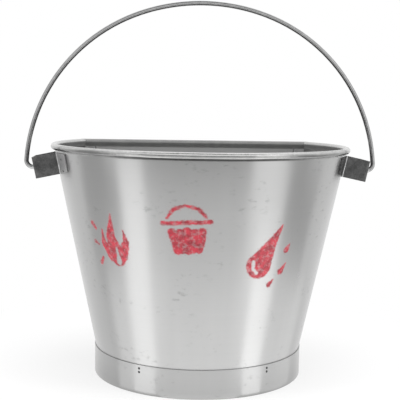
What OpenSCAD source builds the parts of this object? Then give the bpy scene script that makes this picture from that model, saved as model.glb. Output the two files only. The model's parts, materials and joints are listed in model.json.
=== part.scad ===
/* [Shell] */
// Height from the floor to the top of the rim
rim_h = 232; // [200:1:280]
// Radius of the curved wall's outer face at the rim
mouth_r = 147; // [130:1:170]
// Radius of the curved wall's outer face at the foot ring
waist_r = 104.6; // [90:0.1:115]
// Distance from the centre line back to the flat panel's outer face, at the rim
back_y = 83; // [65:1:100]
// Thickness of the bucket's sheet
sheet = 0.8; // [0.6:0.1:1.2]
// Diameter of the wire that the rim is rolled around
rim_wire_d = 4.2; // [3:0.1:6]
// Width of the fold that the curved wall turns in behind the flat panel
lap_w = 10; // [7:0.5:14]
// Width of the slit where the rolled rim closes
curl_slit = 0.6; // [0.3:0.1:1]

/* [Foot] */
// Height of the foot ring
foot_h = 28; // [20:1:40]
// Distance from the foot ring's top edge down to the bottom plate's underside
bottom_drop = 8; // [8:0.5:11]
// Depth of the bottom plate's turned-down edge
bottom_edge = 6; // [4:0.5:8]
// Width of the lip that carries the bottom plate's edge
lip_w = 3.5; // [2:0.5:6]
// Height of the hem at the foot ring's lower edge
hem_h = 5; // [3:0.5:8]
// Height and width of the sealant fillets
seal_w = 3; // [2:0.5:4]

/* [Ears] */
// Distance from the centre line forward to the bail's axis
ear_forward = 22; // [10:1:35]
// Distance from the rim's top down to the ear's middle on the wall
ear_drop = 19.2; // [18:0.1:40]
// Width of the ear's raised middle
ear_w = 36; // [26:1:50]
// Height of the ear, along the wall
ear_h = 20.8; // [16:0.1:24]
// Distance from the wall to the outer face of the ear's web
ear_out = 20.2; // [16:0.1:28]
// Length of each ear flange, along the wall
ear_flange = 26; // [18:1:32]
// Thickness of the ear's sheet
ear_sheet = 1.2; // [0.8:0.1:2]
// Outer radius of the ear's bends
ear_bend_r = 2.6; // [2.1:0.1:4]

/* [Bail] */
// Diameter of the bail's wire
wire_d = 4.5; // [4:0.1:6]
// Distance from the ear's web out to the middle of the bail's leg
leg_out = 8.7; // [8.4:0.1:14]
// Height of the bail's top above its axis, to the middle of the wire
bail_rise = 161.4; // [145:1:170]
// Radius of the bend from the leg into the ear, to the middle of the wire
bend_r = 6.5; // [5:0.1:7]
// How far the leg leans inwards where it leaves that bend
leg_lean = 4.5; // [0:0.5:8]
// Half of the angle that the flatter arc at the bail's top spans
top_a = 19.6; // [10:0.1:40]
// Diameter of the flattened head inside the ear
head_d = 8; // [7:0.5:10]
// Thickness of that head
head_t = 2; // [1:0.5:3]
// Distance from the web's inner face to the head
head_play = 2.4; // [2:0.1:4]

/* [Spot welds] */
// Diameter of a weld spot
weld_d = 2.4; // [1.6:0.1:3]
// Depth of the dimple that the electrode leaves
dimple = 0.25; // [0.1:0.05:0.4]
// Distance from the foot ring's top edge down to its upper weld spots
foot_weld_drop = 3.3; // [2:0.1:4]
// Distance between the two spots of a pair on the foot ring
foot_weld_pitch = 3.5; // [3.1:0.1:4]
// Angle from the front to the first pair of weld spots on the foot ring
foot_weld_angle = 35; // [20:1:45]
// Angle from the front to the second pair of weld spots on the foot ring
side_weld_angle = 100; // [80:1:110]
// Distance from the middle to the weld spots on the flat part of the foot ring
back_weld_x = 32; // [20:1:45]
// Distance between the two spots of a pair on an ear's flange
ear_weld_pitch = 11; // [6:0.5:12]
// Number of weld spots down each corner seam
seam_welds_n = 6; // [3:1:9]

/* [Fits] */
// Gap between sheets and pieces that lie on each other
slip = 0.1; // [0.05:0.05:0.2]
// Running clearance around the bail's pins, on the radius
pin_clear = 0.1; // [0.05:0.01:0.1]
// Clearance around a weld spot, on the radius
weld_clear = 0.02; // [0.01:0.01:0.05]

/* [Hidden] */
$fn = 128;
// larger than any part of the bucket, for cutting
big = 4 * mouth_r;
over = 1;
// the rolled edge closes low on the outer side
slit_a = -50;
// the ear's flanges start a little inside its sides
flange_start_a = 3;

bead_d = rim_wire_d + 2 * slip + 2 * sheet;
bead_z = rim_h - bead_d / 2;
// the sheet ends inside the thickness of the roll
roll_join_z = bead_z - bead_d / 2 + sheet / 2;
taper = (mouth_r - waist_r) / (bead_z - foot_h);
taper_a = atan(taper);
// at every height the back panel keeps the proportions that it has at the rim
back_share = back_y / mouth_r;
corner_share = sqrt(1 - back_share * back_share);
waist_back = waist_r * back_share;

bottom_z = foot_h - bottom_drop;
lip_z = bottom_z - bottom_edge - slip - sheet;
seal_z = bottom_z + sheet;
foot_r = waist_r + slip + sheet;
foot_back = waist_back + slip + sheet;
// the bottom plate drops inside the wall
pan_r = waist_r - sheet - slip;
pan_back = waist_back - sheet - slip;
// the corner folds stop short of the roll
fold_top = bead_z - bead_d / 2 - slip;

ear_z = rim_h - ear_drop;
web_x = wall_r(ear_z) + ear_out * cos(taper_a);
pivot_z = ear_z - ear_out * sin(taper_a);
pin_x = web_x + leg_out - bend_r;
head_x = web_x - ear_sheet - head_play;
spring_z = pivot_z + bend_r;
// the side arc starts where the bend ends and runs into the top arc without a kink: two radii
// that meet both its start, leg_x out and leg_up high, and the arch's top, arch_h higher
leg_x = pin_x + bend_r * cos(leg_lean);
leg_up = bend_r * sin(leg_lean);
arch_h = bail_rise - bend_r - leg_up;
arcs = (cos(leg_lean) - sin(top_a)) * (1 - cos(top_a)) - sin(top_a) * (cos(top_a) - sin(leg_lean));
side_r = (leg_x * (1 - cos(top_a)) - arch_h * sin(top_a)) / arcs;
top_r = (arch_h * (cos(leg_lean) - sin(top_a)) - leg_x * (cos(top_a) - sin(leg_lean))) / arcs;
top_drop = top_r - arch_h - leg_up;
side_x = leg_x - side_r * cos(leg_lean);
side_up = leg_up - side_r * sin(leg_lean);
collar_proud = 0.02;
collar_len = 0.5;
// the flanges lie on the wall on both sides of the ear's raised middle
flange_r = wall_r(ear_z) + slip + ear_sheet;
flange_a = ear_flange / flange_r * 180 / PI;
flange_front_a = asin((ear_forward + ear_w / 2) / flange_r);
flange_rear_a = asin((ear_forward - ear_w / 2) / flange_r);

// the object's box is centred on the origin, front to back
centre_y = (mouth_r - back_y) / 2;

function wall_r(z) = waist_r + taper * max(z - foot_h, 0);
function back_at(z) = wall_r(z) * back_share;
function corner_x(z) = wall_r(z) * corner_share;

module from_axis() {
    translate([0, centre_y, 0]) children();
}

// everything behind the flat panel's outer face, moved back by off
module behind(off) {
    translate([-big / 2, 0, 0]) rotate([90, 0, 90]) linear_extrude(big)
        polygon([[waist_back + off, -over], [waist_back + off, foot_h],
                 [back_at(rim_h) + off, rim_h], [back_at(rim_h) + off, rim_h + over],
                 [big, rim_h + over], [big, -over]]);
}

// the space between two planes parallel to the flat panel's outer face
module panel_slab(from_off, to_off) {
    difference() {
        behind(from_off);
        behind(to_off);
    }
}

// the cone of the curved wall's outer face, filled
module cone_space(z_low, z_high) {
    rotate_extrude()
        polygon([[0, z_low], [wall_r(z_low), z_low], [wall_r(max(z_low, foot_h)), max(z_low, foot_h)],
                 [wall_r(z_high), z_high], [0, z_high]]);
}

// upright strips beside the corners, between two distances in from them
module corner_strips(inner, outer, z_low, z_high) {
    for (side = [0, 1]) mirror([side, 0, 0])
        translate([0, big / 2, 0]) rotate([90, 0, 0]) linear_extrude(big)
            polygon([[corner_x(z_low) - inner, z_low], [corner_x(z_high) - inner, z_high],
                     [corner_x(z_high) - outer, z_high], [corner_x(z_low) - outer, z_low]]);
}

// an upright solid with the bucket's outline: round in front, flat behind
module dee(r, back, z_low, z_high) {
    difference() {
        translate([0, 0, z_low]) cylinder(r = r, h = z_high - z_low);
        translate([-big / 2, back, z_low - over]) cube([big, big, z_high - z_low + 2 * over]);
    }
}

// where the rolled rim closes, in section
module roll_slit() {
    rotate(slit_a) translate([0, -curl_slit / 2]) square([bead_d, curl_slit]);
}

// a spot through the wall at an angle from the front; deep and high are measured along its axis
module radial_spot(angle, z, deep, high, d, lean = 0) {
    rotate([0, 0, angle - 90]) translate([wall_r(z), 0, z]) rotate([0, 90 + lean, 0])
        translate([0, 0, -deep]) cylinder(d = d, h = deep + high);
}

module foot_spots(deep, high, d) {
    for (side = [-1, 1], angle = [foot_weld_angle, side_weld_angle], step = [0, 1])
        radial_spot(side * angle, foot_h - foot_weld_drop - step * foot_weld_pitch, deep, high, d);
    for (side = [-1, 1], step = [0, 1])
        translate([side * back_weld_x, waist_back - deep, foot_h - foot_weld_drop - step * foot_weld_pitch])
            rotate([-90, 0, 0]) cylinder(d = d, h = deep + high);
}

module ear_spots(deep, high, d) {
    for (side = [-1, 1], step = [-1, 1], flange_mid = [90 - flange_front_a - flange_a / 2,
                                                       90 - flange_rear_a + flange_a / 2])
        radial_spot(side * flange_mid, ear_z + step * ear_weld_pitch / 2, deep, high, d, taper_a);
}

module seam_spots(deep, high, d) {
    low = foot_h + lap_w;
    high_z = fold_top - lap_w;
    for (side = [-1, 1], step = [0 : seam_welds_n - 1]) {
        z = low + (high_z - low) * step / (seam_welds_n - 1);
        translate([side * (corner_x(z) - lap_w / 2), back_at(z), z])
            rotate([-90 - atan(taper * back_share), 0, 0])
                translate([0, 0, -deep]) cylinder(d = d, h = deep + high);
    }
}

module front_wall() {
    color("silver") from_axis() difference() {
        union() {
            difference() {
                rotate_extrude()
                    polygon([[waist_r, lip_z], [waist_r, foot_h], [wall_r(roll_join_z), roll_join_z],
                             [wall_r(roll_join_z) - sheet, roll_join_z], [waist_r - sheet, foot_h],
                             [waist_r - sheet, lip_z]]);
                behind(-sheet - slip);
            }
            difference() {
                rotate_extrude() translate([mouth_r, bead_z]) circle(d = bead_d);
                rotate_extrude() translate([mouth_r, bead_z]) circle(d = bead_d - 2 * sheet);
                rotate_extrude() translate([mouth_r, bead_z]) roll_slit();
                translate([-big / 2, back_y - bead_d / 2 - slip, 0]) cube([big, big, big]);
            }
            // the lip that carries the bottom plate
            difference() {
                dee(waist_r - sheet / 2, pan_back - lip_w - slip, lip_z, lip_z + sheet);
                translate([0, 0, -over]) cylinder(r = waist_r - sheet - lip_w, h = rim_h);
            }
            // the folds that lie inside the flat panel
            intersection() {
                panel_slab(-2 * sheet - slip, -sheet - slip);
                corner_strips(lap_w, -lap_w, foot_h, fold_top);
                cone_space(foot_h, fold_top);
            }
        }
        foot_spots(2 * sheet, sheet, weld_d);
        ear_spots(2 * sheet, sheet, weld_d);
        seam_spots(3 * sheet, sheet, weld_d);
    }
}

module back_panel() {
    color("silver") from_axis() difference() {
        union() {
            intersection() {
                panel_slab(-sheet, 0);
                cone_space(lip_z, roll_join_z);
            }
            intersection() {
                translate([-big / 2, back_y, bead_z]) rotate([90, 0, 90]) linear_extrude(big) difference() {
                    circle(d = bead_d);
                    circle(d = bead_d - 2 * sheet);
                    roll_slit();
                }
                cylinder(r = mouth_r + bead_d / 2, h = big);
            }
            difference() {
                dee(waist_r - sheet - slip, waist_back - sheet / 2, lip_z, lip_z + sheet);
                translate([-big / 2, waist_back - sheet - slip - lip_w - big, -over]) cube([big, big, rim_h]);
            }
        }
        foot_spots(2 * sheet, sheet, weld_d);
        seam_spots(3 * sheet, sheet, weld_d);
    }
}

module rim_wire_front() {
    color("gray") from_axis() difference() {
        rotate_extrude() translate([mouth_r, bead_z]) circle(d = rim_wire_d);
        translate([-big / 2, back_y - bead_d / 2 - slip - sheet, 0]) cube([big, big, big]);
    }
}

module rim_wire_back() {
    half = corner_x(bead_z);
    color("gray") from_axis()
        translate([-half, back_y, bead_z]) rotate([0, 90, 0]) cylinder(d = rim_wire_d, h = 2 * half);
}

module bottom_pan() {
    color("silver") from_axis() difference() {
        dee(pan_r, pan_back, lip_z + sheet + slip, bottom_z + sheet);
        dee(pan_r - sheet, pan_back - sheet, lip_z, bottom_z);
    }
}

module bottom_seal() {
    color("dimgray") from_axis() difference() {
        dee(pan_r, pan_back, seal_z, seal_z + seal_w);
        difference() {
            rotate_extrude()
                polygon([[0, seal_z - over], [pan_r - seal_w - over, seal_z - over],
                         [pan_r + over, seal_z + seal_w + over], [0, seal_z + seal_w + over]]);
            translate([-big / 2, 0, 0]) rotate([90, 0, 90]) linear_extrude(big)
                polygon([[pan_back - seal_w - over, seal_z - over], [pan_back + over, seal_z + seal_w + over],
                         [big, seal_z + seal_w + over], [big, seal_z - over]]);
        }
    }
}

// a run of sealant down the inner edge of each corner fold; side is -1 for left and 1 for right
module corner_seal(side) {
    color("dimgray") from_axis() intersection() {
        panel_slab(-2 * sheet - slip, -sheet - slip);
        corner_strips(lap_w + slip + seal_w / 2, lap_w + slip, foot_h, fold_top);
        translate([side < 0 ? -big : 0, 0, 0]) cube([big, big, big]);
    }
}

module corner_seal_left() {
    corner_seal(-1);
}

module corner_seal_right() {
    corner_seal(1);
}

// the hem is the ring's lower edge folded in and pressed flat, so it is two sheets thick
module foot_ring() {
    color("silver") from_axis() difference() {
        dee(foot_r, foot_back, 0, foot_h);
        dee(foot_r - 2 * sheet, foot_back - 2 * sheet, -over, foot_h + over);
        dee(foot_r - sheet, foot_back - sheet, hem_h, foot_h + over);
        foot_spots(sheet, 3 * sheet, weld_d);
    }
}

// the ear's raised middle, seen along the wall: a web and two sides
module ear_section() {
    half = ear_w / 2;
    difference() {
        union() {
            translate([-ear_out, -half]) square([2 * ear_out - ear_bend_r, ear_w]);
            translate([-ear_out, -half + ear_bend_r]) square([2 * ear_out, ear_w - 2 * ear_bend_r]);
            for (side = [-1, 1]) translate([ear_out - ear_bend_r, side * (half - ear_bend_r)])
                circle(r = ear_bend_r);
        }
        translate([-ear_out - over, -half + ear_sheet])
            square([2 * ear_out + over - ear_bend_r, ear_w - 2 * ear_sheet]);
        translate([-ear_out - over, -half + ear_bend_r])
            square([2 * ear_out + over - ear_sheet, ear_w - 2 * ear_bend_r]);
        for (side = [-1, 1]) translate([ear_out - ear_bend_r, side * (half - ear_bend_r)])
            circle(r = ear_bend_r - ear_sheet);
    }
}

// a band that lies on the cone, as tall as the ear; its ends are cut square to the wall
module ear_band(start_a, sweep_a) {
    rise = ear_h / 2 * cos(taper_a);
    run = ear_h / 2 * sin(taper_a);
    skin = wall_r(ear_z) + slip;
    rotate_extrude(start = start_a, angle = sweep_a)
        polygon([[skin - run, ear_z - rise],
                 [skin - run + ear_sheet * cos(taper_a), ear_z - rise - ear_sheet * sin(taper_a)],
                 [skin + run + ear_sheet * cos(taper_a), ear_z + rise - ear_sheet * sin(taper_a)],
                 [skin + run, ear_z + rise]]);
}

module ear_right() {
    half = ear_w / 2;
    color("dimgray") from_axis() difference() {
        union() {
            difference() {
                translate([wall_r(ear_z), -ear_forward, ear_z]) rotate([0, taper_a, 0])
                    translate([0, 0, -ear_h / 2]) linear_extrude(ear_h) ear_section();
                // the sides end where the flanges begin
                translate([slip, 0, 0]) cone_space(0, rim_h);
                cylinder(r = flange_r - ear_h, h = big);
            }
            difference() {
                ear_band(-flange_front_a - flange_a, flange_a + flange_start_a);
                translate([0, -ear_forward - half + ear_sheet, 0]) cube([big, big, big]);
            }
            difference() {
                ear_band(-flange_rear_a - flange_start_a, flange_a + flange_start_a);
                translate([0, -ear_forward + half - ear_sheet - big, 0]) cube([big, big, big]);
            }
        }
        translate([0, -ear_forward, pivot_z]) rotate([0, 90, 0])
            cylinder(d = wire_d + 2 * pin_clear, h = big);
        ear_spots(sheet, 3 * ear_sheet, weld_d);
    }
}

module ear_left() {
    mirror([1, 0, 0]) ear_right();
}

// an arc of wire in the bail's plane; angles run from +X towards +Z
module wire_arc(x, z, r, start_a, sweep_a) {
    translate([x, 0, z]) rotate([90, 0, 0])
        rotate_extrude(start = start_a, angle = sweep_a) translate([r, 0]) circle(d = wire_d);
}

// a short collar, hardly proud of the wire, that two stretches of it end inside
module wire_join(x, z, angle) {
    translate([x, 0, z]) rotate([0, 90 - angle, 0])
        cylinder(d = wire_d + 2 * collar_proud, h = collar_len, center = true);
}

module bail() {
    color("lightgray") from_axis() translate([0, -ear_forward, 0]) {
        wire_arc(0, spring_z - top_drop, top_r, 90 - top_a, 2 * top_a);
        for (side = [0, 1]) mirror([side, 0, 0]) {
            wire_join(side_x + side_r * sin(top_a), spring_z + side_up + side_r * cos(top_a), -top_a);
            wire_arc(side_x, spring_z + side_up, side_r, leg_lean, 90 - top_a - leg_lean);
            wire_join(leg_x, spring_z + leg_up, 90 + leg_lean);
            wire_arc(pin_x, spring_z, bend_r, -90, 90 + leg_lean);
            wire_join(pin_x, pivot_z, 0);
            translate([head_x - head_t, 0, pivot_z]) rotate([0, 90, 0])
                cylinder(d = wire_d, h = pin_x - head_x + head_t);
            translate([head_x - head_t, 0, pivot_z]) rotate([0, 90, 0]) cylinder(d = head_d, h = head_t);
        }
    }
}

module seam_welds() {
    color("slategray") from_axis()
        seam_spots(2 * sheet + slip, -dimple, weld_d - 2 * weld_clear);
}

module ear_welds() {
    color("slategray") from_axis()
        ear_spots(sheet * cos(taper_a), slip + ear_sheet - dimple, weld_d - 2 * weld_clear);
}

module foot_welds() {
    color("slategray") from_axis()
        foot_spots(sheet, slip + sheet - dimple, weld_d - 2 * weld_clear);
}

front_wall();
back_panel();
rim_wire_front();
rim_wire_back();
bottom_pan();
bottom_seal();
corner_seal_left();
corner_seal_right();
foot_ring();
ear_left();
ear_right();
bail();
seam_welds();
ear_welds();
foot_welds();
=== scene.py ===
import json
import math

import bmesh
import bpy
from mathutils import Matrix, Vector


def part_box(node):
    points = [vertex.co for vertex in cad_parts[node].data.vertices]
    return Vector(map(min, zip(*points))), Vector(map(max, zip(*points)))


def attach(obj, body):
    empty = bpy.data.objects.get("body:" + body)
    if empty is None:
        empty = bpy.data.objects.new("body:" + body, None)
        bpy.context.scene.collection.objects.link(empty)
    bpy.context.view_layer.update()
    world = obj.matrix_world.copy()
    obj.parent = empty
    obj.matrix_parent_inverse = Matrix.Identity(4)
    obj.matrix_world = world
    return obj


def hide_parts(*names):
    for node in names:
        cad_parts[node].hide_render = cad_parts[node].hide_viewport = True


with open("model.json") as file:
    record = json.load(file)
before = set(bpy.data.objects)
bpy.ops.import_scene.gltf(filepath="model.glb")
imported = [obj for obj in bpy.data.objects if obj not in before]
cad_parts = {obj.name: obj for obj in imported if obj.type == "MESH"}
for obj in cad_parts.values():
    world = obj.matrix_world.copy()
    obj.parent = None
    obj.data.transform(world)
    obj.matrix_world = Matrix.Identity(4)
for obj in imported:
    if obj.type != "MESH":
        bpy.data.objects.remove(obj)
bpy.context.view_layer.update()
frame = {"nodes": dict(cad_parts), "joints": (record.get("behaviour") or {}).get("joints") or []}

nodes = frame["nodes"]
scene = bpy.context.scene


def mm(value):
    return value / 1000


near = mm(0.01)  # places closer together than this are one

# what the frame gives: the cone's axis, the rim, the foot, the ears and the bail
wallLow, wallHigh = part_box("front_wall")
footLow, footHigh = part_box("foot_ring")
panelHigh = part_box("back_panel")[1]
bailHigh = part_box("bail")[1]
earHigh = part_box("ear_right")[1]
pinPlace = Vector(frame["joints"][0]["pos_m"])
bucket = {
    "axisY": wallLow.y + wallHigh.x,
    "sheet": mm(0.8),
    "slip": mm(0.1),  # between sheets that lie on each other
    "rollOuter": mm(3),
    "footHeight": footHigh.z,
    "lipBottom": wallLow.z,
}
bucket["mouth"] = wallHigh.x - bucket["rollOuter"]
bucket["waist"] = footHigh.x - bucket["sheet"] - bucket["slip"]
bucket["beadHeight"] = wallHigh.z - bucket["rollOuter"]
bucket["taper"] = (bucket["mouth"] - bucket["waist"]) / (bucket["beadHeight"] - bucket["footHeight"])
bucket["lean"] = math.atan(bucket["taper"])
bucket["backY"] = panelHigh.y - bucket["rollOuter"] - bucket["axisY"]
bucket["backShare"] = bucket["backY"] / bucket["mouth"]
bucket["cornerAngle"] = math.degrees(math.asin(bucket["backShare"]))


# outer radius of the curved wall, and how far back the flat panel's outer face is
def wallRadius(z):
    return bucket["waist"] + bucket["taper"] * max(z - bucket["footHeight"], 0)


def backAt(z):
    return wallRadius(z) * bucket["backShare"]


view = {
    "place": (mm(-64.3), mm(-889.9), mm(277.7)),
    "pan": 4.01,  # degrees towards +X
    "tilt": 6.35,  # degrees down
    "roll": 0.96,
    "lens": 82.0,
    "sensor": 36,
}


def makeCamera():
    bpy.ops.object.camera_add(location=view["place"])
    camera = bpy.context.object
    camera.name = "camera"
    turn = (Matrix.Rotation(math.radians(-view["pan"]), 3, "Z")
            @ Matrix.Rotation(math.radians(90 - view["tilt"]), 3, "X")
            @ Matrix.Rotation(math.radians(view["roll"]), 3, "Z"))
    camera.rotation_euler = turn.to_euler()
    camera.data.lens = view["lens"]
    camera.data.sensor_width = view["sensor"]
    camera.data.dof.use_dof = False
    scene.camera = camera


# a socket that Python's operators work on
class Wire:
    def __init__(self, finish, socket):
        self.finish = finish
        self.socket = socket

    def math(self, operation, *others, swapped=False):
        values = [self, *others]
        if swapped:
            values.reverse()
        return self.finish.node("ShaderNodeMath", {"operation": operation}, dict(enumerate(values)))

    def __add__(self, other):
        return self.math("ADD", other)

    def __sub__(self, other):
        return self.math("SUBTRACT", other)

    def __rsub__(self, other):
        return self.math("SUBTRACT", other, swapped=True)

    def __mul__(self, other):
        return self.math("MULTIPLY", other)

    __radd__ = __add__
    __rmul__ = __mul__

    def least(self, other):
        return self.math("MINIMUM", other)

    def most(self, other):
        return self.math("MAXIMUM", other)

    def vector(self, operation, *others, out=0):
        values = dict(enumerate([self, *others]))
        return self.finish.node("ShaderNodeVectorMath", {"operation": operation}, values, out)

    def length(self):
        return self.vector("LENGTH", out="Value")

    # 0 below low, 1 above high, smooth between
    def step(self, low, high):
        return self.finish.node("ShaderNodeMapRange", {"interpolation_type": "SMOOTHSTEP"},
                                {"Value": self, "From Min": low, "From Max": high})


class Finish:
    def __init__(self, name, tree=None):
        if tree is None:
            self.material = bpy.data.materials.new(name)
            self.material.use_nodes = True
            tree = self.material.node_tree
        self.tree = tree
        self.tree.nodes.clear()

    # any node: its type, its settings, then its sockets' values or links
    def node(self, kind, settings=None, sockets=None, out=0):
        made = self.tree.nodes.new(kind)
        for key, value in (settings or {}).items():
            setattr(made, key, value)
        for key, value in (sockets or {}).items():
            if isinstance(value, Wire):
                self.tree.links.new(value.socket, made.inputs[key])
            else:
                made.inputs[key].default_value = value
        return Wire(self, made.outputs[out]) if made.outputs else None

    def mix(self, share, first, second):
        return self.node("ShaderNodeMix", {"data_type": "RGBA"}, {0: share, 6: first, 7: second}, out=2)

    def scaled(self, vector, factor):
        return self.node("ShaderNodeVectorMath", {"operation": "SCALE"}, {0: vector, "Scale": factor})

    # the vector as seen from a centre, turned about it by an angle
    def mapped(self, vector, centre, turn=0):
        return self.node("ShaderNodeMapping", {"vector_type": "TEXTURE"},
                         {"Vector": vector, "Location": centre, "Rotation": (0, 0, turn)})

    def place(self, centre=(0, 0, 0)):
        return self.mapped(self.node("ShaderNodeTexCoord", out="Object"), centre)

    def split(self, vector):
        return [self.node("ShaderNodeSeparateXYZ", None, {0: vector}, out=n) for n in range(3)]

    def join(self, x, y, z):
        return self.node("ShaderNodeCombineXYZ", None, {0: x, 1: y, 2: z})

    def noise(self, vector, scale, detail=3, roughness=0.5):
        return self.node("ShaderNodeTexNoise", None,
                         {"Vector": vector, "Scale": scale, "Detail": detail, "Roughness": roughness})

    # noise with a scale of its own along each of three measures
    def grain(self, measures, scales, detail):
        stretched = [measure * scale for measure, scale in zip(measures, scales)]
        return self.noise(self.join(*stretched), 1.0, detail)

    def bump(self, height, distance):
        return self.node("ShaderNodeBump", None, {"Height": height, "Distance": distance, "Strength": 1.0})

    # white light of its own
    def glow(self, strength):
        return self.node("ShaderNodeEmission", None, {"Color": shaded(white, 1), "Strength": strength})

    def output(self, shader):
        self.node("ShaderNodeOutputMaterial", None, {"Surface": shader})
        return self.material

    def surface(self, **sockets):
        values = {key.replace("_", " "): value for key, value in sockets.items()}
        return self.output(self.node("ShaderNodeBsdfPrincipled", None, values))


white = (1, 1, 1)
black = (0, 0, 0, 1)


# a colour made darker or lighter
def shaded(colour, factor):
    return tuple(channel * factor for channel in colour) + (1,)


floorLook = {
    "size": 8.0,
    "lightness": 0.9,
    "shadowShare": 0.3,  # how much of the lit floor, with the object's shadow, the camera sees close by
    "shadowReach": (0.14, 0.34),  # it fades to plain white over these distances from the axis
}
worldLook = {"white": 1.0, "light": 0.55}


# 1 where a mirror or glass looks straight at it
def seenInGloss(finish):
    glossy = finish.node("ShaderNodeLightPath", out="Is Glossy Ray")
    return glossy.most(finish.node("ShaderNodeLightPath", out="Is Transmission Ray"))


def makeFloor():
    bpy.ops.mesh.primitive_plane_add(size=floorLook["size"], location=(0, 0, footLow.z))
    floor = bpy.context.object
    floor.name = "floor"
    finish = Finish("floorPaper")
    away = finish.place((0, bucket["axisY"], 0)).length()
    lit = finish.node("ShaderNodeBsdfDiffuse", None, {"Color": shaded(white, floorLook["lightness"])})
    plain = 1 - (1 - away.step(*floorLook["shadowReach"])) * floorLook["shadowShare"]
    seenWhite = finish.node("ShaderNodeLightPath", out="Is Camera Ray") * plain
    shader = finish.node("ShaderNodeMixShader", None,
                         {0: seenWhite.most(seenInGloss(finish)), 1: lit, 2: finish.glow(1.0)})
    floor.data.materials.append(finish.output(shader))


def makeWorld():
    world = bpy.data.worlds.new("studio")
    world.use_nodes = True
    scene.world = world
    finish = Finish("studio", world.node_tree)
    seen = finish.node("ShaderNodeLightPath", out="Is Camera Ray").most(seenInGloss(finish))
    strength = worldLook["light"] + seen * (worldLook["white"] - worldLook["light"])
    sky = finish.node("ShaderNodeBackground", None, {"Color": shaded(white, 1), "Strength": strength})
    finish.node("ShaderNodeOutputWorld", None, {"Surface": sky})


# azimuth 0 is in front of the object and 90 to its right, as seen by the camera
lamps = [
    {"name": "leftLamp", "azimuth": -67, "reach": 1.4, "height": 0.95, "size": (0.5, 1.5), "power": 10},
    {"name": "rightLamp", "azimuth": 61, "reach": 1.4, "height": 0.95, "size": (0.5, 1.5), "power": 10},
    {"name": "topLamp", "azimuth": 20, "reach": 0.3, "height": 1.9, "size": (1.4, 1.2), "power": 22},
]
lampTarget = mm(140)  # the height on the axis that the lamps point at
# what the metal mirrors: bright cards on the floor, a softbox, and grey boards between them;
# a card lies where the wall between two azimuths mirrors it, from one distance to another, and on
# the floor where it has no height
cards = [
    {"name": "frontBoard", "mirrored": (-25, 15), "reach": (1.2, 1.2), "height": (0, 0.29), "glow": 0.22},
    {"name": "overheadBoard", "mirrored": (-34, 26), "reach": (1.25, -0.1), "height": (1.05, 1.4),
     "glow": 0.2},
    {"name": "leftBoard", "mirrored": (-53, -40), "reach": (1.2, 1.2), "height": (0, 1.2), "glow": 0.6},
    {"name": "rightSoftbox", "mirrored": (15, 28), "reach": (1.2, 1.2), "height": (0, 1.2), "glow": 1.35},
    {"name": "rightBoard", "mirrored": (28, 40), "reach": (1.2, 1.2), "height": (0, 1.2), "glow": 0.7},
    {"name": "leftFloorCard", "mirrored": (-50, -39), "reach": (0, 0.28), "glow": 1.4},
    {"name": "leftFloorLight", "mirrored": (-39, -26), "reach": (0, 0.28), "glow": 1.9},
    {"name": "frontFloorCard", "mirrored": (-26, 20.5), "reach": (0, 0.28), "glow": 1.45},
    {"name": "rightFloorLight", "mirrored": (20.5, 32), "reach": (0, 0.28), "glow": 2.1},
    {"name": "rightFloorCard", "mirrored": (32, 56), "reach": (0, 0.28), "glow": 1.36},
    {"name": "leftFarGrey", "mirrored": (-56, -35.5), "reach": (0.28, 1.2), "glow": 0.66},
    {"name": "leftFarLight", "mirrored": (-35.5, -25), "reach": (0.28, 1.2), "glow": 1.7},
    {"name": "rightFarLight", "mirrored": (15, 31), "reach": (0.28, 1.2), "glow": 1.35},
    {"name": "rightFarGrey", "mirrored": (31, 48), "reach": (0.28, 1.2), "glow": 0.6},
]
mirrorRadius = mm(109)  # the wall's radius where it mirrors the cards
cardLift = mm(0.5)  # off the floor


def around(azimuth, reach, height):
    angle = math.radians(azimuth)
    return Vector((reach * math.sin(angle), bucket["axisY"] - reach * math.cos(angle), height))


def makeLamps():
    target = Vector((0, bucket["axisY"], lampTarget))
    for row in lamps:
        place = around(row["azimuth"], row["reach"], row["height"])
        bpy.ops.object.light_add(type="AREA", location=place)
        lamp = bpy.context.object
        lamp.name = row["name"]
        lamp.data.shape = "RECTANGLE"
        lamp.data.size, lamp.data.size_y = row["size"]
        lamp.data.energy = row["power"]
        lamp.rotation_euler = (target - place).to_track_quat("-Z", "Y").to_euler()
        lamp.visible_glossy = False


# the place that the wall at an azimuth shows to the camera, so far away from the wall
def mirroredPlace(azimuth, reach, height):
    wall = around(azimuth, mirrorRadius, height)
    seenFrom = math.degrees(math.atan2(view["place"][0] - wall.x, wall.y - view["place"][1]))
    return wall + around(2 * azimuth - seenFrom, reach, 0) - around(0, 0, 0)


def makeCards():
    for row in cards:
        finish = Finish(row["name"])
        left, right = row["mirrored"]
        first, last = row["reach"]
        low, high = (footLow.z + cardLift + height for height in row.get("height", (0, 0)))
        corners = [mirroredPlace(left, first, low), mirroredPlace(left, last, high),
                   mirroredPlace(right, last, high), mirroredPlace(right, first, low)]
        startPath(row["name"], corners[0])
        for here, following in zip(corners, corners[1:]):
            extrudeBy(*(following - here))
        selectAll()
        bpy.ops.mesh.edge_face_add()
        setMode("OBJECT")
        card = bpy.context.object
        card.data.materials.append(finish.output(finish.glow(row["glow"])))
        card.visible_camera = False
        card.visible_diffuse = False
        card.visible_shadow = False


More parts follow.
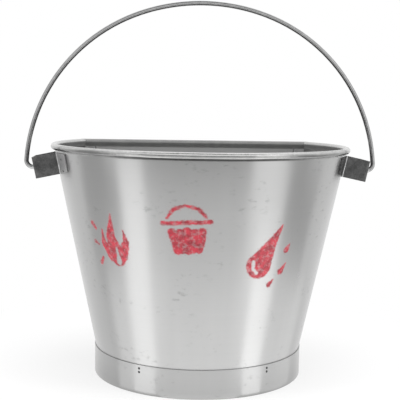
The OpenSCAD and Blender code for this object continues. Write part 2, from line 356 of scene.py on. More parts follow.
# plain signs sprayed on the front: a flame, a bucket and a drop of water. a stroke goes through
# points x, y with a half width each, in mm from the sign's middle; gaps are strokes left bare
signs = [
    {"azimuth": -40.5, "height": mm(146), "turn": 10, "strokes": [
        [(0, -13, 9), (-3, 5, 5.5), (4, 26, 0.6)], [(-6, -12, 6), (-13, 1, 3.2), (-11, 13, 0.6)],
        [(6, -12, 6), (13, -1, 3.2), (13, 10, 0.6)],
        [(-22, 20, 2.2), (-19, 15, 1.4)], [(-25, 3, 2.0), (-21, 0, 1.2)],
        [(-24, -17, 2.2), (-20, -13, 1.4)]],
     "gaps": [[(0, -18, 3.0), (1, -5, 0.6)]]},
    {"azimuth": -8.5, "height": mm(160), "turn": 3, "strokes": [
        [(-13, 1, 3.6), (-9, -16, 3.6)], [(13, 1, 3.6), (9, -16, 3.6)], [(0, 0, 5.4), (0, -14.5, 5.4)],
        [(-6, 0, 4), (-5, -15, 4)], [(6, 0, 4), (5, -15, 4)],
        [(-20, 9.5, 2), (20, 9.5, 2)],
        [(-16, 14, 1.5), (-10, 22, 1.5), (0, 25, 1.5), (10, 22, 1.5), (16, 14, 1.5)]],
     "gaps": []},
    {"azimuth": 25, "height": mm(139), "turn": -16, "strokes": [
        [(-4, -11, 13), (0, 10, 5.5), (4, 29, 0.6)],
        [(19, 8, 2.8), (21, 15, 0.6)], [(22, -12, 3.4), (25, -3, 0.6)], [(14, -27, 2.4), (17, -21, 0.6)]],
     "gaps": [[(-11, -10, 1.8), (-9, -16, 1.8), (-4, -19, 1.4)]]},
]
# the scales are those of its noises
paint = {
    "red": (0.46, 0.03, 0.05),
    "darkest": 0.6,
    "lightest": 1.25,
    "shadeScale": 170,
    "edge": mm(0.9),
    "ragged": mm(2.4),
    "raggedScale": 420,
    "blotScale": 130,
    "spray": mm(5),  # how far its specks fly
    "speckScale": 900,
    "specks": (0.66, 0.74),
    "speckCover": 0.8,
    "thinScale": 260,
    "thin": (0.3, 0.55),
    "thinCover": 0.55,
    "roughness": 0.2,  # more than the sheet's
    "thickness": 2,  # against the height of the sheet's lines
}


# distance from the outline of a stroke, below 0 inside it
def fromStroke(finish, place, stroke):
    nearest = None
    for first, last in zip(stroke, stroke[1:]):
        start = Vector((mm(first[0]), mm(first[1]), 0))
        line = Vector((mm(last[0]), mm(last[1]), 0)) - start
        fromStart = place.vector("SUBTRACT", tuple(start))
        share = fromStart.vector("DOT_PRODUCT", tuple(line / line.length_squared), out="Value")
        share = share.most(0).least(1)
        fromLine = fromStart.vector("SUBTRACT", finish.scaled(tuple(line), share)).length()
        distance = fromLine - share * mm(last[2] - first[2]) - mm(first[2])
        nearest = distance if nearest is None else nearest.least(distance)
    return nearest


# how thick the paint lies: full inside a stroke, ragged at its edge, specks around it
def sprayedSigns(finish, along, z):
    row = paint
    flat = finish.join(along, z, 0)
    nearest = None
    for sign in signs:
        middle = (math.radians(sign["azimuth"]) * brushed["radius"], sign["height"], 0)
        place = finish.mapped(flat, middle, math.radians(sign["turn"]))
        shape = None
        for stroke in sign["strokes"]:
            distance = fromStroke(finish, place, stroke)
            shape = distance if shape is None else shape.least(distance)
        for gap in sign["gaps"]:
            shape = shape.most(0 - fromStroke(finish, place, gap))
        nearest = shape if nearest is None else nearest.least(shape)
    ragged = finish.noise(flat, row["raggedScale"], 3, 0.6)
    blot = finish.noise(flat, row["blotScale"], 2)
    edge = nearest + (ragged - 0.5) * row["ragged"] + (blot - 0.5) * row["ragged"]
    solid = 1 - edge.step(-row["edge"], row["edge"])
    specks = finish.noise(flat, row["speckScale"], 1).step(*row["specks"])
    specks = specks * (1 - nearest.step(0, row["spray"]))
    thin = finish.noise(flat, row["thinScale"], 3, 0.7).step(*row["thin"])
    return (solid * (thin * (1 - row["thinCover"]) + row["thinCover"])).most(specks * row["speckCover"])


# brushed sheet: fine lines run round the body, or across a flat piece; smudges and faint streaks lie
# on it. three scales are for the ways along the sheet, through it and up it
brushed = {
    "radius": mm(125),  # the curved wall's, about half-way up, where the patterns have their own size
    "fine": (14, 300, 2600),
    "coarse": (5, 40, 420),
    "fineShare": 0.6,
    "streak": (70, 10, 5),
    "cloud": 14,
    "smudge": 230,
    "smudgeWidth": 0.6,
    "smudgedArea": 26,
    "smudges": (0.55, 0.8),
    "smudgedAreas": (0.46, 0.66),
    "lineContrast": 0.18,
    "streakContrast": 0.16,
    "cloudContrast": 0.14,
    "dark": (0.8, 0.8, 0.8),
    "light": (1.2, 1.2, 1.19),
    "dirt": (0.05, 0.05, 0.05, 1),
    "cloudRoughness": 0.1,
    "dirtRoughness": 0.15,
    "anisotropy": 0.8,
    "lineDepth": mm(0.01),
}


def brushedSheet(name, tone, curved=True, roughness=0.3, smudge=0.3, lowTone=1.0, painted=False, grain="Z"):
    row = brushed
    finish = Finish(name)
    x, y, z = finish.split(finish.place((0, bucket["axisY"], 0)))
    along = x
    depth = y
    if curved:
        along = x.math("ARCTAN2", 0 - y) * row["radius"]
        depth = (x * x + y * y).math("SQRT")
    ways = (along, depth, z)
    onSheet = finish.join(*ways)
    streak = finish.grain(ways, row["streak"], 2)
    cloud = finish.noise(onSheet, row["cloud"], 4)
    patch = finish.noise(finish.join(along * row["smudgeWidth"], depth, z), row["smudge"], 3, 0.6)
    where = finish.noise(onSheet, row["smudgedArea"], 2)
    dirt = patch.step(*row["smudges"]) * where.step(*row["smudgedAreas"])
    lines = (finish.grain(ways, row["fine"], 2) * row["fineShare"]
             + finish.grain(ways, row["coarse"], 3) * (1 - row["fineShare"]))
    shade = (0.5 + (lines - 0.5) * row["lineContrast"] + (streak - 0.5) * row["streakContrast"]
             + (cloud - 0.5) * row["cloudContrast"])
    base = finish.mix(shade, shaded(row["dark"], tone), shaded(row["light"], tone))
    if lowTone < 1:
        down = 1 - z.step(0, bucket["footHeight"])
        base = finish.mix(down * (1 - lowTone), base, black)
    base = finish.mix(dirt * smudge, base, row["dirt"])
    rough = roughness + (cloud - 0.5) * row["cloudRoughness"] + dirt * row["dirtRoughness"]
    height = lines
    metallic = 1.0
    if painted:
        outside = bucket["waist"] - bucket["footHeight"] * bucket["taper"] - bucket["sheet"] / 2
        isOutside = (depth - z * bucket["taper"]).math("GREATER_THAN", outside)
        cover = sprayedSigns(finish, along, z) * isOutside
        shadeOfRed = finish.noise(finish.join(along, z, 0), paint["shadeScale"], 3).step(0.3, 0.7)
        red = finish.mix(shadeOfRed, shaded(paint["red"], paint["darkest"]),
                         shaded(paint["red"], paint["lightest"]))
        base = finish.mix(cover, base, red)
        metallic = 1 - cover
        rough = rough + cover * paint["roughness"]
        height = lines * (1 - cover) + cover * paint["thickness"]
    tangent = finish.node("ShaderNodeTangent", {"direction_type": "RADIAL", "axis": grain})
    return finish.surface(Base_Color=base, Metallic=metallic, Roughness=rough,
                          Anisotropic=row["anisotropy"], Anisotropic_Rotation=0.25, Tangent=tangent,
                          Normal=finish.bump(height, row["lineDepth"]))


# the rolled edge: smoothed by wear and a little dented; painted shade can darken it below its middle
rolled = {
    "radius": mm(147),
    "dents": (110, 20, 160),
    "scratches": (60, 700, 1400),
    "dentContrast": 0.7,
    "scratchContrast": 0.8,
    "dark": (0.7, 0.7, 0.7),
    "light": (1.2, 1.2, 1.18),
    "shadeFade": (mm(-0.5), mm(1.8)),  # from the roll's middle up to where the painted shade below it has faded out
    "sides": (mm(45), mm(115)),  # how far out the finish goes over into that of the ears' sides
    "scratchRoughness": 0.15,
    "scratchDepth": 0.06,  # against that of the dents
}


# sideTone dims or lifts it towards the two ears, and matt is the share without shine, in the middle
# of the front and at the ears
def rolledSheet(name, tone, roughness, dent, shadeBelow=0, sideTone=1.0, matt=(0, 0)):
    row = rolled
    finish = Finish(name)
    x, y, z = finish.split(finish.place((0, bucket["axisY"], 0)))
    along = x.math("ARCTAN2", 0 - y) * row["radius"]
    dents = finish.grain((along, y, z), row["dents"], 3)
    scratch = finish.grain((along, y, z), row["scratches"], 2)
    aboveShade = z.step(*(bucket["beadHeight"] + level for level in row["shadeFade"]))
    shade = 0.5 + (dents - 0.5) * row["dentContrast"] + (scratch - 0.5) * row["scratchContrast"]
    base = finish.mix(shade, shaded(row["dark"], tone), shaded(row["light"], tone))
    # painted shade: below the roll's middle the sheet is darkened by shadeBelow
    base = finish.mix((1 - aboveShade) * shadeBelow, base, black)
    toSide = x.math("ABSOLUTE").step(*row["sides"])
    base = finish.scaled(base, 1 + toSide * (sideTone - 1))
    metallic = 1 - matt[0] - toSide * (matt[1] - matt[0])
    return finish.surface(Base_Color=base, Metallic=metallic,
                          Roughness=roughness + (scratch - 0.5) * row["scratchRoughness"],
                          Normal=finish.bump(dents + scratch * row["scratchDepth"], dent))


# steel without a grain: cloudy, with fine specks
plain = {"cloud": 130, "specks": 900, "cloudShare": 0.6, "speckRoughness": 0.2, "depth": mm(0.04)}


def plainSteel(name, tone, roughness, metallic=1.0, contrast=0.3):
    row = plain
    finish = Finish(name)
    place = finish.place()
    specks = finish.noise(place, row["specks"], 2)
    cloud = finish.noise(place, row["cloud"], 4, 0.6)
    shade = cloud * row["cloudShare"] + specks * (1 - row["cloudShare"])
    base = finish.mix(shade.step(0.3, 0.7), shaded(white, tone * (1 - contrast)),
                      shaded(white, tone * (1 + contrast)))
    return finish.surface(Base_Color=base, Metallic=metallic,
                          Roughness=roughness + (specks - 0.5) * row["speckRoughness"],
                          Normal=finish.bump(shade, row["depth"]))


def setMode(mode):
    bpy.ops.object.mode_set(mode=mode)


def selectAll():
    bpy.ops.mesh.select_all(action="SELECT")


def applyTransform():
    bpy.ops.object.transform_apply(location=True, rotation=True, scale=True)


# a path starts as one vertex: a small plane, merged to its centre
def startPath(name, place):
    bpy.ops.object.select_all(action="DESELECT")
    bpy.ops.mesh.primitive_plane_add(size=mm(1), location=place)
    bpy.context.object.name = name
    applyTransform()
    setMode("EDIT")
    bpy.ops.mesh.select_mode(type="VERT")
    selectAll()
    bpy.ops.mesh.merge(type="CENTER")


def extrudeBy(*move):
    bpy.ops.mesh.extrude_region_move(TRANSFORM_OT_translate={"value": move})


# turns what is selected right-handed about an axis and leaves faces or edges behind it
def spinBy(degrees, centre, axis, steps):
    bpy.ops.mesh.spin(steps=steps, angle=-math.radians(degrees), center=centre, axis=axis)


# selects vertices, edges or faces by where their middle is
def pick(kind, wanted):
    bpy.ops.mesh.select_mode(type=kind)
    bpy.ops.mesh.select_all(action="DESELECT")
    data = bpy.context.object.data
    mesh = bmesh.from_edit_mesh(data)
    if kind == "VERT":
        found = [(vertex, vertex.co) for vertex in mesh.verts]
    elif kind == "EDGE":
        found = [(edge, (edge.verts[0].co + edge.verts[1].co) / 2) for edge in mesh.edges]
    else:
        found = [(face, face.calc_center_median()) for face in mesh.faces]
    for part, place in found:
        if wanted(place):
            part.select_set(True)
    bmesh.update_edit_mesh(data)


# cuts the wanted faces along a plane and takes away what lies beyond it
def cutAway(wanted, point, normal):
    pick("FACE", wanted)
    bpy.ops.mesh.bisect(plane_co=point, plane_no=normal)
    pick("FACE", lambda place: wanted(place) and (place - Vector(point)).dot(Vector(normal)) > 0)
    bpy.ops.mesh.delete(type="FACE")


def addModifier(kind, **settings):
    piece = bpy.context.object
    modifier = piece.modifiers.new(kind.lower(), kind)
    for key, value in settings.items():
        setattr(modifier, key, value)
    bpy.ops.object.modifier_apply(modifier=modifier.name)


def cleanMesh():
    bpy.ops.mesh.select_mode(type="VERT")
    selectAll()
    bpy.ops.mesh.remove_doubles(threshold=near)
    bpy.ops.mesh.normals_make_consistent(inside=False)


# a sheet is drawn along its middle, and then gets its thickness
def thicken(sheet):
    setMode("OBJECT")
    addModifier("SOLIDIFY", thickness=sheet, offset=0, use_even_offset=True)


smoothAngle = 40  # degrees, below which two faces shade as one


def finishPiece(material, body, replaced):
    piece = bpy.context.object
    bpy.ops.object.shade_smooth_by_angle(angle=math.radians(smoothAngle))
    piece.data.materials.clear()
    piece.data.materials.append(material)
    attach(piece, body)
    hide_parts(replaced)
    print(piece.name, "made")
    return piece


# the curved wall: one sheet from the lip under the bottom up to the roll around the rim wire
frontSheet = {
    "lipWidth": mm(3.5),
    "lipBend": mm(1.2),
    "knee": mm(0.6),  # half the height of the bend at the foot ring's top
    "rings": (0.25, 0.5, 0.75),  # where the tapering part is divided
    "neckDrop": mm(4.8),  # from the middle of the roll down to where the wall turns in
    "neckKnee": mm(0.7),
    "neckTurn": (mm(0.2), mm(0.3)),  # inwards and up
    "rollLead": (mm(0.7), mm(2.0)),  # outwards and down from where the roll starts
    "rollMiddle": mm(2.6),  # radius of the roll, to the middle of the sheet
    "rollStart": 200,
    "rollSweep": 256,
    "rollSteps": 20,
    "steps": 208,
    "panelSteps": 24,
    "cornerFrom": mm(0.7),  # from the foot ring's top down to where the corners start
    "cornerUpTo": mm(0.5),  # from the neck down to where they end
    "foldWidth": mm(10),
    "foldBend": (mm(0.42), mm(0.62)),  # how far the corner's bend goes in and back
    "foldCurve": 0.35,  # how much of the way in its first half takes
}


# draws the wall's section in the plane of an angle, then leaves its last vertex selected
def drawSection(name, out, side, radiusAt, centre, lipEnd, bead):
    row = frontSheet
    half = bucket["sheet"] / 2
    low = bucket["lipBottom"] + half
    foot = bucket["footHeight"]
    neck = bead[1] - row["neckDrop"]
    angle = math.radians(row["rollStart"])
    rollStart = (bead[0] + row["rollMiddle"] * math.cos(angle),
                 bead[1] + row["rollMiddle"] * math.sin(angle))

    def point(r, z):
        return Vector(out) * r + Vector((centre[0], centre[1], z))

    bendStart = radiusAt(low) - half - row["lipBend"]
    startPath(name, point(lipEnd, low))
    extrudeBy(*(point(bendStart, low) - point(lipEnd, low)))
    spinBy(90, point(bendStart, low + row["lipBend"]), side, 4)
    levels = [low + row["lipBend"], foot - row["knee"], foot + row["knee"]]
    levels += [neck * share + foot * (1 - share) for share in row["rings"]]
    levels.append(neck - row["neckKnee"])
    path = [(radiusAt(level) - half, level) for level in levels]
    path += [(radiusAt(neck) - half - row["neckTurn"][0], neck + row["neckTurn"][1]),
             (rollStart[0] + row["rollLead"][0], rollStart[1] - row["rollLead"][1]), rollStart]
    for here, following in zip(path, path[1:]):
        extrudeBy(*(point(*following) - point(*here)))
    spinBy(-row["rollSweep"], point(*bead), side, row["rollSteps"])


def makeFrontSheet(material):
    row = frontSheet
    angle = math.radians(bucket["cornerAngle"])
    out = (math.cos(angle), math.sin(angle), 0)
    side = (math.sin(angle), -math.cos(angle), 0)
    centre = (0, bucket["axisY"])
    lipEnd = bucket["waist"] - bucket["sheet"] - row["lipWidth"]
    drawSection("frontSheet", out, side, wallRadius, centre, lipEnd,
                (bucket["mouth"], bucket["beadHeight"]))
    selectAll()
    spinBy(-180 - 2 * bucket["cornerAngle"], (*centre, 0), (0, 0, 1), row["steps"])
    cleanMesh()
    neck = bucket["beadHeight"] - row["neckDrop"]
    foldPlane = -1.5 * bucket["sheet"] - bucket["slip"]  # middle of the fold, from the panel's outer face
    low = bucket["footHeight"] - row["cornerFrom"]
    high = neck - row["cornerUpTo"]
    slope = bucket["taper"] * bucket["backShare"]
    backFace = centre[1] + backAt(0)
    cutAway(lambda place: place.z < low, (0, backFace + foldPlane + bucket["sheet"] / 2, 0), (0, 1, 0))
    cutAway(lambda place: low < place.z < high,
            (0, backFace + foldPlane - row["foldBend"][1], bucket["footHeight"]), (0, 1, -slope))
    cutAway(lambda place: place.z > high,
            (0, centre[1] + bucket["backY"] - bucket["rollOuter"] - bucket["slip"], 0), (0, 1, 0))
    # the corner folds: bent round behind the panel, then straight
    inward, backward = row["foldBend"]
    for way in (-1, 1):
        def onCorner(place):
            back = centre[1] + backAt(place.z) + foldPlane - backward
            return low < place.z < high and place.x * way > 0 and abs(place.y - back) < 2 * near

        pick("EDGE", onCorner)
        extrudeBy(-way * inward * row["foldCurve"], backward * (1 - row["foldCurve"]), 0)
        extrudeBy(-way * inward * (1 - row["foldCurve"]), backward * row["foldCurve"], 0)
        extrudeBy(-way * (row["foldWidth"] - inward), 0, 0)
    cleanMesh()
    thicken(bucket["sheet"])
    return finishPiece(material, "bucket", "front_wall")


# the flat panel: the same section, drawn straight across and cut to the corners
def makeBackSheet(material):
    row = frontSheet
    lipEnd = backAt(0) - bucket["sheet"] - bucket["slip"] - row["lipWidth"]
    drawSection("backSheet", (0, 1, 0), (1, 0, 0), backAt, (0, bucket["axisY"]), lipEnd,
                (bucket["backY"], bucket["beadHeight"]))
    halfWidth = bucket["mouth"] + bucket["rollOuter"]
    selectAll()
    bpy.ops.transform.translate(value=(-halfWidth, 0, 0))
    for step in range(row["panelSteps"]):
        extrudeBy(2 * halfWidth / row["panelSteps"], 0, 0)
    cleanMesh()
    low = bucket["footHeight"] - row["cornerFrom"]
    high = bucket["beadHeight"] - row["neckDrop"] - row["cornerUpTo"]
    cornerShare = math.cos(math.radians(bucket["cornerAngle"]))
    rollEnd = math.sqrt(halfWidth ** 2 - bucket["backY"] ** 2)
    for way in (-1, 1):
        corner = (way * bucket["waist"] * cornerShare, 0, bucket["footHeight"])
        cutAway(lambda place: place.z > high, (way * rollEnd, 0, 0), (way, 0, 0))
        cutAway(lambda place: low < place.z < high, corner, (way, 0, -bucket["taper"] * cornerShare))
        cutAway(lambda place: place.z < low, corner, (way, 0, 0))
    cleanMesh()
    thicken(bucket["sheet"])
    return finishPiece(material, "bucket", "back_panel")


# the ring that the bucket stands on; its lower edge is folded in as a hem
footBand = {
    "hemHeight": mm(5),
    "hemSteps": 6,
    "rows": 6,
    "cornerBend": mm(1.6),
    "cornerSteps": 5,
    "steps": 208,
    "endWithin": 0.0005,  # how near its end an edge lies, in radians
    "flatCuts": 23,
}


def makeFootBand(material):
    row = footBand
    half = bucket["sheet"] / 2
    middle = bucket["waist"] + bucket["slip"] + half
    backMiddle = backAt(0) + bucket["slip"] + half
    endAngle = math.asin((backMiddle - row["cornerBend"]) / (middle - row["cornerBend"]))
    out = Vector((math.cos(endAngle), math.sin(endAngle), 0))
    side = (math.sin(endAngle), -math.cos(endAngle), 0)
    axis = Vector((0, bucket["axisY"], 0))
    top = Vector((0, 0, bucket["footHeight"]))
    hem = Vector((0, 0, bucket["sheet"]))
    startPath("footBand", axis + out * middle + top)
    for step in range(row["rows"]):
        extrudeBy(*((hem - top) / row["rows"]))
    spinBy(-180, axis + out * (middle - half) + hem, side, row["hemSteps"])
    extrudeBy(0, 0, row["hemHeight"] - bucket["sheet"])
    selectAll()
    spinBy(-180 - 2 * math.degrees(endAngle), axis, (0, 0, 1), row["steps"])
    for way in (1, -1):
        def onEnd(place):
            flat = place - axis
            return abs(math.atan2(flat.y, flat.x * way) - endAngle) < row["endWithin"]

        pick("EDGE", onEnd)
        bend = axis + Vector((way * out.x, out.y, 0)) * (middle - row["cornerBend"])
        spinBy(way * (90 - math.degrees(endAngle)), bend, (0, 0, 1), row["cornerSteps"])
    bendX = out.x * (middle - row["cornerBend"])
    pick("EDGE", lambda place: place.y > axis.y and abs(abs(place.x) - bendX) < near / 2)
    bpy.ops.mesh.bridge_edge_loops(number_cuts=row["flatCuts"])
    cleanMesh()
    thicken(bucket["sheet"])
    return finishPiece(material, "bucket", "foot_ring")


# the bail: a head inside each ear, a pin through its web, and the long arch
bail = {
    "wire": mm(4.5),
    "bend": mm(6.5),
    "lean": 4.5,  # degrees that the legs lean inwards above their bends
    "topHalf": 19.6,  # half of what the flatter arc at the top spans
    "steps": (10, 26, 14),  # of the bend, the side arc and half of the top arc
    "headWidth": mm(8),
    "headThickness": mm(2),
    "headBevel": mm(0.4),
    "headEdge": mm(0.3),
    "headSwell": 1.1,
    "headPlay": mm(2.4),  # from the web's inner face to the head
    "sides": 24,
}


def makeBail(material):
    row = bail
    wire = row["wire"] / 2
    y = pinPlace.y
    spring = pinPlace.z + row["bend"]
    pinX = bailHigh.x - wire - row["bend"]
    # the side arc starts where the bend ends and runs into the top arc without a kink
    legSin, legCos = math.sin(math.radians(row["lean"])), math.cos(math.radians(row["lean"]))
    topSin, topCos = math.sin(math.radians(row["topHalf"])), math.cos(math.radians(row["topHalf"]))
    legX = pinX + row["bend"] * legCos
    legUp = row["bend"] * legSin
    archHeight = bailHigh.z - wire - spring - legUp
    arcs = (legCos - topSin) * (1 - topCos) - topSin * (topCos - legSin)
    sideRadius = (legX * (1 - topCos) - archHeight * topSin) / arcs
    topRadius = (archHeight * (legCos - topSin) - legX * (topCos - legSin)) / arcs
    headX = earHigh.x - ear["sheet"] - row["headPlay"] - row["headThickness"]
    faceRadius = row["headWidth"] / 2 - row["headBevel"]
    middle = (headX, y, pinPlace.z)
    bpy.ops.object.select_all(action="DESELECT")
    bpy.ops.mesh.primitive_circle_add(vertices=row["sides"], radius=faceRadius, fill_type="NGON",
                                      location=middle, rotation=(0, math.radians(90), 0))
    bpy.context.object.name = "bailWire"
    applyTransform()
    setMode("EDIT")
    selectAll()
    rings = ((row["headEdge"], row["headSwell"]), (row["headThickness"] - 2 * row["headEdge"], 1.0),
             (row["headEdge"], 1 / row["headSwell"]), (0, wire / faceRadius),
             (pinX - headX - row["headThickness"], 1))
    for move, scale in rings:
        extrudeBy(move, 0, 0)
        bpy.ops.transform.resize(value=(1, scale, scale), center_override=middle)
    bpy.ops.mesh.select_mode(type="EDGE")
    spinBy(-90 - row["lean"], (pinX, y, spring), (0, 1, 0), row["steps"][0])
    sideCentre = (legX - sideRadius * legCos, y, spring + legUp - sideRadius * legSin)
    spinBy(row["topHalf"] + row["lean"] - 90, sideCentre, (0, 1, 0), row["steps"][1])
    topCentre = (0, y, spring + legUp + archHeight - topRadius)
    spinBy(-row["topHalf"], topCentre, (0, 1, 0), row["steps"][2])
    pick("FACE", lambda place: abs(place.x) < near)
    bpy.ops.mesh.delete(type="FACE")
    cleanMesh()
    setMode("OBJECT")
    addModifier("MIRROR", use_axis=(True, False, False), use_mirror_merge=True, merge_threshold=5 * near)
    return finishPiece(material, "bail", "bail")


# an ear: a strip bent into a raised box between two flanges that lie on the wall
ear = {
    "drop": mm(19.2),  # from the rim's top down to the ear's middle on the wall
    "width": mm(36),
    "height": mm(20.8),
    "out": mm(20.2),
    "flange": mm(26),
    "flangeSteps": 10,
    "sheet": mm(1.2),
    "bend": mm(2.0),  # radius of the bends, to the middle of the sheet
    "footBend": mm(1.3),
    "footReach": mm(5),  # how far off the wall those at the foot are looked for
    "bendSteps": 6,
    "slant": 0.15,  # how steeply a flange's lower edge rises
    "shorter": 0.1,  # how much of its length it lacks down there
    "wear": mm(0.22),  # width of the rounded edges
    "wearAngle": 60,  # degrees, above which an edge is rounded
    "footHighlight": (0.4, 0.25),  # the middle and half width of the painted highlight line, in bends
    "holeGap": mm(0.1),
    "holeSides": 40,
    "drill": mm(12),
}


def makeEar(name, replaced, way, material, flangeMaterial, highlightMaterial):
    row = ear
    lean = bucket["lean"]
    axisY = bucket["axisY"]
    middleZ = wallHigh.z - row["drop"]
    height = row["height"]
    outward = Vector((math.cos(lean), 0, -math.sin(lean)))
    upward = Vector((math.sin(lean), 0, math.cos(lean)))
    low = Vector((wallRadius(middleZ), pinPlace.y, middleZ)) - upward * height / 2
    skin = bucket["slip"] + row["sheet"] / 2
    halfWidth = (row["width"] - row["sheet"]) / 2
    web = low + outward * (row["out"] - row["sheet"] / 2)

    # where a side of the box meets the middle of a flange, at the ear's lower edge; a few turns settle it
    def onWall(sideY):
        x = wallRadius(low.z)
        for turn in range(4):
            z = low.z - (x - low.x) * math.tan(lean)
            x = math.sqrt((wallRadius(z) + skin) ** 2 - (sideY - axisY) ** 2)
        return Vector((x, sideY, low.z - (x - low.x) * math.tan(lean)))

    front = onWall(low.y - halfWidth)
    rear = onWall(low.y + halfWidth)
    sweep = math.degrees(row["flange"] / wallRadius(low.z))
    startPath(name, front)
    spinBy(-sweep, (0, axisY, 0), (0, 0, 1), row["flangeSteps"])
    pick("VERT", lambda place: (place - front).length < near)
    extrudeBy(*(outward * (web - front).dot(outward)))
    extrudeBy(0, 2 * halfWidth, 0)
    extrudeBy(*(outward * (rear - web).dot(outward)))
    spinBy(sweep, (0, axisY, 0), (0, 0, 1), row["flangeSteps"])
    selectAll()
    extrudeBy(*(upward * height))
    for atWeb, radius in ((True, row["bend"]), (False, row["footBend"])):
        def onBend(place):
            atSide = abs(abs(place.y - low.y) - halfWidth) < near
            upright = abs((place - low).dot(upward) - height / 2) < row["sheet"] / 2
            distance = (place - low).dot(outward)
            onWeb = abs(distance - row["out"] + row["sheet"] / 2) < near
            return atSide and upright and (onWeb if atWeb else distance < row["footReach"])

        pick("EDGE", onBend)
        bpy.ops.mesh.bevel(offset=radius, segments=row["bendSteps"])
    selectAll()
    bpy.ops.mesh.normals_make_consistent(inside=False)
    setMode("OBJECT")
    # the flanges follow the cone at every height, and their lower edge is cut slanting
    piece = bpy.context.object
    for vertex in piece.data.vertices:
        beyond = abs(vertex.co.y - low.y) - halfWidth - row["sheet"] / 2
        if beyond > 0:
            if (vertex.co - low).dot(upward) < height / 2:
                vertex.co.z += beyond * row["slant"]
                vertex.co.y -= math.copysign(beyond * row["shorter"], vertex.co.y - low.y)
            radius = wallRadius(vertex.co.z) + skin
            vertex.co.x = math.sqrt(radius ** 2 - (vertex.co.y - axisY) ** 2)
    thicken(row["sheet"])
    bpy.ops.mesh.primitive_cylinder_add(vertices=row["holeSides"], radius=bail["wire"] / 2 + row["holeGap"],
                                        depth=row["drill"], location=(web.x, low.y, pinPlace.z),
                                        rotation=(0, math.radians(90), 0))
    drill = bpy.context.object
    bpy.context.view_layer.objects.active = piece
    addModifier("BOOLEAN", object=drill, operation="DIFFERENCE", solver="EXACT")
    bpy.data.objects.remove(drill)
    addModifier("BEVEL", width=row["wear"], segments=2, limit_method="ANGLE",
                angle_limit=math.radians(row["wearAngle"]))
    if way < 0:
        piece.select_set(True)
        bpy.ops.transform.resize(value=(-1, 1, 1), center_override=(0, 0, 0))
        applyTransform()
        setMode("EDIT")
        selectAll()
        bpy.ops.mesh.normals_make_consistent(inside=False)
        setMode("OBJECT")
    finishPiece(material, "bucket", replaced)
    piece.data.materials.append(flangeMaterial)
    piece.data.materials.append(highlightMaterial)
    # the rounded edges and a line along the bends at the wall get a painted highlight; flanges have their
    # own finish, on the left ear a lighter copy of the ear's steel: painted light
    highlightMiddle, highlightHalf = (row["footBend"] * share for share in row["footHighlight"])
    for face in piece.data.polygons:
        corners = [piece.data.vertices[index].co for index in face.vertices]
        longest = max((last - first).length for first, last in zip(corners, corners[1:] + corners[:1]))
        fromSide = abs(face.center.y - low.y) - halfWidth
        onEdge = face.area < longest * row["wear"]
        onFootBend = abs(fromSide - highlightMiddle) < highlightHalf
        if onEdge or onFootBend and abs(face.center.x) < web.x - row["out"] / 2:
            face.material_index = 2
        elif fromSide > row["footBend"]:
            face.material_index = 1


# spot welds: the ring and the hollow that the electrode leaves on the sheet, and where they are
spot = {
    "width": mm(2.4),
    "ring": mm(0.1),
    "hollow": mm(0.03),
    "sides": 20,
    "insets": (0.14, 0.14, 0.22, 0.2),  # shares of the radius, from the edge in
    "middleDrop": mm(0.01),
    "earPitch": mm(11),
    "footDrops": (mm(3.3), mm(6.8)),  # from the foot ring's top
    "footAngles": (35, 100),
    "backX": mm(32),
    "seamCount": 6,
}


def makeSpots(name, replaced, places, material):
    bpy.ops.object.select_all(action="DESELECT")
    radius = spot["width"] / 2
    bpy.ops.mesh.primitive_circle_add(vertices=spot["sides"], radius=radius, fill_type="NGON")
    pattern = bpy.context.object
    setMode("EDIT")
    bpy.ops.mesh.select_mode(type="FACE")
    selectAll()
    lifts = (spot["ring"], 0, spot["hollow"] - spot["ring"], -spot["middleDrop"])
    for inset, lift in zip(spot["insets"], lifts):
        bpy.ops.mesh.inset(thickness=inset * radius, depth=lift)
    bpy.ops.mesh.poke()
    setMode("OBJECT")
    copies = []
    for place, normal in places:
        copy = pattern.copy()
        copy.data = pattern.data.copy()
        turn = Vector(normal).to_track_quat("Z", "Y")
        copy.matrix_world = Matrix.Translation(place) @ turn.to_matrix().to_4x4()
        scene.collection.objects.link(copy)
        copies.append(copy)
    bpy.data.objects.remove(pattern)
    bpy.ops.object.select_all(action="DESELECT")
    for copy in copies:
        copy.select_set(True)
    bpy.context.view_layer.objects.active = copies[0]
    bpy.ops.object.join()
    applyTransform()
    bpy.context.object.name = name
    return finishPiece(material, "bucket", replaced)


# a place on the curved wall, and the way that it faces there
def onCone(angle, z, lift, lean):
    turn = math.radians(angle)
    flat = Vector((math.sin(turn), -math.cos(turn), 0))
    normal = flat * math.cos(lean) - Vector((0, 0, math.sin(lean)))
    return Vector((0, bucket["axisY"], z)) + flat * wallRadius(z) + normal * lift, normal


